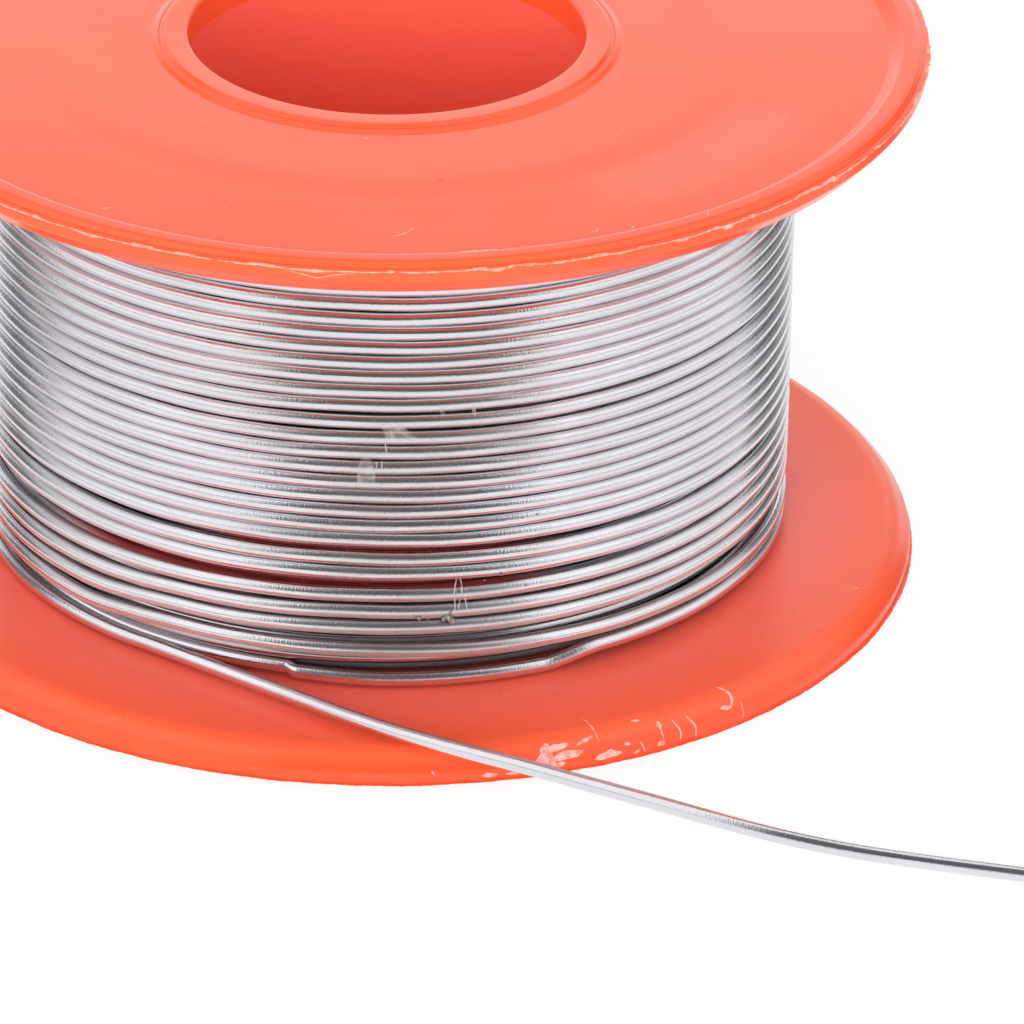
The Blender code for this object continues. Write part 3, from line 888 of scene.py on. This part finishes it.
def smooth_route(route, step):
    """Points at an even step along a smooth curve that passes through every point of a route."""
    ends = np.array([2 * route[0] - route[1], *route, 2 * route[-1] - route[-2]])
    fine = []
    for before, start, end, after in zip(ends, ends[1:], ends[2:], ends[3:]):
        for t in np.linspace(0.0, 1.0, ROUTE_FINENESS, endpoint=False):
            fine.append(0.5 * (2 * start + (end - before) * t
                               + (2 * before - 5 * start + 4 * end - after) * t ** 2
                               + (3 * start - before - 3 * end + after) * t ** 3))
    fine = np.array([*fine, route[-1]])
    along = np.concatenate([[0.0], np.cumsum(np.linalg.norm(np.diff(fine, axis=0), axis=1))])
    stops = np.linspace(0.0, along[-1], round(along[-1] / step) + 1)
    points = np.stack([np.interp(stops, along, fine[:, axis]) for axis in range(3)], axis=1)
    return points, along[-1]


def outer_winding(material, lead_start):
    """The outer layer of turns, one unbroken wire that ends where the lead starts."""
    last = LEAVING_ANGLE + 360.0 * LAST_TURN
    fine_start = DIP_START + 360.0 * DIP_TURN - JOG_SPAN
    fine_end = DIP_END + 360.0 * DIP_TURN + DIP_BEND
    step = 360.0 / POINTS_PER_TURN
    angles = [*np.arange(STARTING_ANGLE, fine_start, step),
              *np.arange(fine_start, fine_end, step / KINK_FINENESS),
              *np.arange(fine_end, last, step), last]
    points = np.array([*(winding_point(angle) for angle in angles[:-1]), lead_start])
    pressed = np.clip((last - np.array(angles)) / PRESSED_UNTIL, 0.0, 1.0)
    heights = LEAD_HALF_HEIGHT + (PRESSED_HALF_HEIGHT - LEAD_HALF_HEIGHT) * pressed
    mesh = wire_mesh("outer_winding_wire", points, heights)
    return add_piece("outer_winding_wire", mesh, material, "outer_winding")


def inner_winding(material):
    """The layer beneath, seen only between the outer turns; it climbs out of the one nearer the hub."""
    turns = np.linspace(0.0, INNER_LAYER_TURNS, INNER_LAYER_TURNS * INNER_POINTS_PER_TURN)
    turned = math.radians(INNER_LAYER_START) + turns * 2 * math.pi
    heights = INNER_LAYER_LOW + INNER_LAYER_PITCH * turns
    climbed = np.array([eased(turn * 360.0 / INNER_CLIMB_SPAN) for turn in turns])
    radii = INNER_LAYER_RADIUS - INNER_CLIMB * (1 - climbed)
    points = np.stack([radii * np.cos(turned), radii * np.sin(turned), heights], axis=1)
    mesh = wire_mesh("inner_winding_wire", points)
    return add_piece("inner_winding_wire", mesh, material, "inner_winding")


def winding_core(material):
    """The layers nearer the hub, as one ring with the humps of its outer turns."""
    turns = round((CORE_HIGH - CORE_LOW) / PITCH)
    shares = np.linspace(0.0, 1.0, turns * ARC_STEPS + 1)
    humps = WIRE_RADIUS * np.abs(np.sin(math.pi * turns * shares))
    heights = CORE_LOW + (CORE_HIGH - CORE_LOW) * shares
    section = [(CORE_INNER_RADIUS, CORE_LOW), *zip(CORE_RADIUS + humps, heights),
               (CORE_INNER_RADIUS, CORE_HIGH)]
    mesh = turned_mesh("inner_winding_core", np.array(section), CORE_SEGMENTS)
    return add_piece("inner_winding_core", mesh, material, "inner_winding")


def solder_lead(material, points):
    """The free end of the wire, nipped off flat."""
    to_end = (len(points) - 1 - np.arange(len(points))) * LEAD_POINT_STEP
    heights = LEAD_HALF_HEIGHT * np.clip(CUT_EDGE + (1 - CUT_EDGE) * to_end / CUT_LENGTH, CUT_EDGE, 1.0)
    mesh = wire_mesh("solder_lead_wire", points, heights)
    lead = add_piece("solder_lead_wire", mesh, material, "solder_lead")
    return lead


def on_coil(angle, height, lift=0.0):
    """A point on the outer turns: angle in degrees, height in millimetres, and how far it stands off."""
    turned = math.radians(angle)
    radius = FILM_RADIUS + lift
    return radius * math.cos(turned), radius * math.sin(turned), height * MM


def flux_films(material, random):
    """Flakes of film that bridge the turns."""
    points, faces = [], []
    for flake in FILM_FLAKES:
        first, count = len(points), len(flake)
        lifts = random.uniform(0.0, FILM_LIFT_MM, count) * MM
        for thickness in (0.0, FILM_THICKNESS):
            points += [on_coil(*corner, lift + thickness) for corner, lift in zip(flake, lifts)]
        faces += [list(range(first, first + count))[::-1], list(range(first + count, first + 2 * count))]
        for corner in range(count):
            after = (corner + 1) % count
            faces.append([first + corner, first + after, first + count + after, first + count + corner])
    mesh = new_mesh("flux_films", points, faces, smooth=False)
    return add_piece("flux_films", mesh, material, None)


def flux_threads(material):
    """Threads drawn out of the film from turn to turn."""
    points, faces = [], []
    for thread in FILM_THREADS:
        first = len(points)
        route, _ = smooth_route(np.array([on_coil(*place) for place in thread]), FILM_THREAD_STEP)
        across = np.array((1.0, 0.0, 0.0)) * FILM_THREAD_RADIUS
        outward = np.array((0.0, -1.0, 0.0)) * FILM_THREAD_RADIUS
        for spot in route:
            points += [tuple(spot + side) for side in (across, outward, -across, -outward)]
        faces += (grid_faces(len(route), 4, False) + first).tolist()
    mesh = new_mesh("flux_threads", points, faces, smooth=False)
    return add_piece("flux_threads", mesh, material, None)


def flux_crumbs(material, random):
    """Small uneven crumbs that sit on the turns."""
    polar = np.linspace(CRUMB_POLE, math.pi - CRUMB_POLE, CRUMB_ROWS)[:, None]
    around = np.linspace(0.0, 2 * math.pi, CRUMB_COLUMNS, endpoint=False)[None, :]
    sides = [np.sin(polar) * np.cos(around), np.sin(polar) * np.sin(around), np.cos(polar)]
    ball = np.stack(np.broadcast_arrays(*sides), axis=-1).reshape(-1, 3)
    ball_faces = grid_faces(CRUMB_ROWS, CRUMB_COLUMNS, False).tolist()
    ball_faces += [list(range(CRUMB_COLUMNS))[::-1], list(range(len(ball) - CRUMB_COLUMNS, len(ball)))]
    points, faces = [], []
    for angle, height, size in FLUX_CRUMBS:
        uneven = ball * random.uniform(*CRUMB_UNEVEN, (len(ball), 1))
        uneven = uneven * random.uniform(*CRUMB_STRETCH, (1, 3))
        first = len(points)
        points += [tuple(spot) for spot in np.array(on_coil(angle, height)) + uneven * size * MM / 2]
        faces += [[first + corner for corner in face] for face in ball_faces]
    return add_piece("flux_crumbs", new_mesh("flux_crumbs", points, faces), material, None)


def background_rays(start):
    """1 for the rays that see the background: from the camera, off gloss and through clear pieces."""
    camera_ray, gloss_ray, clear_ray = (start.node("LightPath", None, None, f"Is {kind} Ray")
                                        for kind in ("Camera", "Glossy", "Transmission"))
    return camera_ray.largest(gloss_ray).largest(clear_ray)


def floor():
    """Plain white table top, which keeps a faint shadow."""
    corners = [(TABLE_LEFT, -TABLE_REACH, 0), (TABLE_RIGHT, -TABLE_REACH, 0),
               (TABLE_RIGHT, TABLE_REACH, 0), (TABLE_LEFT, TABLE_REACH, 0)]
    mesh = new_mesh("floor", corners, [(0, 1, 2, 3)], smooth=False)
    top = bpy.data.objects.new("floor", mesh)
    bpy.context.collection.objects.link(top)
    material, start, shader = new_material("white_table")
    set_shader(start, shader, Base_Color=TABLE_COLOUR, Roughness=0.8)
    plain = Value(start.tree, shader.outputs[0])
    glow = start.node("Emission", None, {"Color": WHITE, "Strength": 1.0})
    whole = start.node("MixShader", None, {0: background_rays(start) * TABLE_GLOW, 1: plain, 2: glow})
    start.feed(start.tree.nodes["Material Output"].inputs["Surface"], whole)
    mesh.materials.append(material)


def studio():
    """White light tent. In the gloss some of its areas are darker or brighter."""
    world = bpy.data.worlds.new("studio")
    world.use_nodes = True
    bpy.context.scene.world = world
    start = Value(world.node_tree)
    x, y, z = start.node("TexCoord", None, None, "Generated").parts()
    turn = start.math("ARCTAN2", x, 0 - y)
    gloss_ray = start.node("LightPath", None, None, "Is Glossy Ray")
    glow = 1.0
    for (left, right), (low, high), brightness in STUDIO_AREAS:
        area = turn.band(math.radians(left), math.radians(right), math.radians(AREA_SOFT_SIDES))
        area = area * z.band(math.sin(math.radians(low)), math.sin(math.radians(high)), AREA_SOFT_EDGE)
        glow = glow + area * (brightness - glow)
    strength = DIFFUSE_BRIGHTNESS + gloss_ray * (glow - DIFFUSE_BRIGHTNESS)
    set_shader(start, world.node_tree.nodes["Background"], Color=WHITE, Strength=strength)


def lamp():
    """Broad soft lamp from the front, for an even light on the colours; it leaves the gloss alone."""
    data = bpy.data.lights.new("front_lamp", "AREA")
    data.shape = "DISK"
    data.size = LAMP_SIZE
    data.energy = LAMP_WATTS
    item = bpy.data.objects.new("front_lamp", data)
    bpy.context.collection.objects.link(item)
    item.location = LAMP_PLACE
    item.rotation_euler = (LAMP_PLACE - LAMP_TARGET).to_track_quat("Z", "Y").to_euler()
    item.visible_glossy = False
    item.visible_camera = False


def camera():
    """The photograph's camera."""
    data = bpy.data.cameras.new("camera")
    data.sensor_width = SENSOR_WIDTH
    data.lens = FOCAL_PIXELS * SENSOR_WIDTH / FRAME_PIXELS
    data.clip_start = CLIP_START
    data.clip_end = CLIP_END
    eye = bpy.data.objects.new("camera", data)
    bpy.context.collection.objects.link(eye)
    turn = Matrix.Rotation(-CAMERA_YAW, 4, "Z") @ Matrix.Rotation(math.pi / 2 - CAMERA_PITCH, 4, "X")
    eye.matrix_world = Matrix.Translation(CAMERA_PLACE) @ turn @ Matrix.Rotation(CAMERA_ROLL, 4, "Z")
    bpy.context.scene.camera = eye


def main():
    """Stage, then the pieces from the wire outwards."""
    bpy.context.scene.view_settings.view_transform = "Standard"
    camera()
    floor()
    studio()
    lamp()
    random = np.random.default_rng(SEED)
    plastic = reel_plastic()
    metal = solder()
    lead_points, lead_length = smooth_route(np.array(LEAD_ROUTE_MM) * MM, LEAD_POINT_STEP)
    solder_lead(metal, lead_points)
    outer_winding(metal, lead_points[0])
    inner_winding(shaded_red_solder("shaded_red_solder", INNER_SHADE_COLOUR, INNER_METAL))
    # The core's dark colour is painted shade
    winding_core(shaded_red_solder("shaded_solder", CORE_SHADE_COLOUR, CORE_METAL))
    flux_films(flux_film("flux_film", FILM_COVER), random)
    flux_threads(flux_film("flux_thread", THREAD_COVER))
    flux_crumbs(flux_crumb(), random)
    reel_half("lower_reel_moulding", "lower_reel_half", plastic, False)
    reel_half("upper_reel_moulding", "upper_reel_half", plastic, True)
    flash("lower_flash", plastic, False, [], LOWER_RAGGED, random)
    torn = torn_plastic("torn_plastic", TORN_SHADES, 0.0)
    flash("upper_flash", torn, True, UPPER_TORN, UPPER_RAGGED, random)
    scraped = torn_plastic("scraped_plastic", SCRAPED_SHADES, SCRAPED_CLEAR)
    scuffs("lower_rim_scuffs", scraped, LOWER_SCUFFS, lower_rim_surface(), random)
    scuffs("upper_face_scuffs_and_glint", scraped, UPPER_SCUFFS_AND_EDGE_GLINT, upper_face_surface(), random)
    scuffs("upper_rim_scuffs", torn, UPPER_RIM_SCUFFS, upper_rim_surface(), random)


main()
